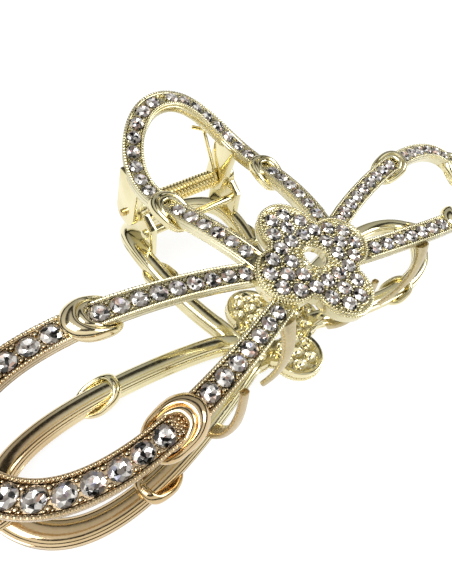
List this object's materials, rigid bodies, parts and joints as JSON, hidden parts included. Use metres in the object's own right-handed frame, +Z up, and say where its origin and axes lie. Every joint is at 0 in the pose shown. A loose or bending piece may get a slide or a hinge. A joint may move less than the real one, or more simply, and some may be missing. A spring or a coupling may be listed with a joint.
{
  "type": "hair claw clip",
  "caption": "Two-jaw hair claw clip with a four-petal stone-set flower, looped ribbon arms with knots, curved teeth and a sprung hinge.",
  "frame": {"origin": "on the table under the middle of the clip's bounding box, with the clip lying closed on its rear jaw", "axes": "+X along the hinge pin and the long arms, +Y from the teeth to the thumb loops, +Z up out of the front jaw"},
  "size_m": [0.0968, 0.0486, 0.0276],
  "materials": {
    "pale_gold": "polished pale gold plate",
    "crystal": "faceted foil-backed crystal",
    "spring_wire": "gold-plated spring steel",
    "pin_wire": "gold-plated steel"
  },
  "bodies": {
    "rear_jaw": {"rear_flower_plaque": "pale_gold", "rear_flower_stones": "crystal", "rear_left_upper_ribbon": "pale_gold", "rear_left_lower_ribbon": "pale_gold", "rear_right_upper_ribbon": "pale_gold", "rear_right_lower_ribbon": "pale_gold", "rear_thumb_left_ribbon": "pale_gold", "rear_thumb_right_ribbon": "pale_gold", "rear_left_stones": "crystal", "rear_right_stones": "crystal", "rear_thumb_stones": "crystal", "rear_left_knots": "pale_gold", "rear_right_knots": "pale_gold", "rear_thumb_knots": "pale_gold", "rear_inner_tooth": "pale_gold", "rear_outer_tooth": "pale_gold", "rear_outer_lug": "pale_gold", "rear_inner_lug": "pale_gold", "rear_lug_tie": "pale_gold", "hinge_pin": "pin_wire", "torsion_spring": "spring_wire"},
    "front_jaw": {"front_flower_plaque": "pale_gold", "front_flower_stones": "crystal", "front_left_upper_ribbon": "pale_gold", "front_left_lower_ribbon": "pale_gold", "front_right_upper_ribbon": "pale_gold", "front_right_lower_ribbon": "pale_gold", "front_thumb_left_ribbon": "pale_gold", "front_thumb_right_ribbon": "pale_gold", "front_left_stones": "crystal", "front_right_stones": "crystal", "front_thumb_stones": "crystal", "front_left_knots": "pale_gold", "front_right_knots": "pale_gold", "front_thumb_knots": "pale_gold", "front_inner_tooth": "pale_gold", "front_outer_tooth": "pale_gold", "front_outer_lug": "pale_gold", "front_inner_lug": "pale_gold"}
  },
  "joints": [
    {"name": "jaw_hinge", "type": "hinge", "parent": "rear_jaw", "child": "front_jaw", "pos_m": [0, 0.01478, 0.01347], "axis": [-1, 0, 0], "range_deg": [0, 45], "stiffness_Nm_per_rad": 0.12, "springref_deg": -34.38, "deforming": ["torsion_spring"]}
  ]
}
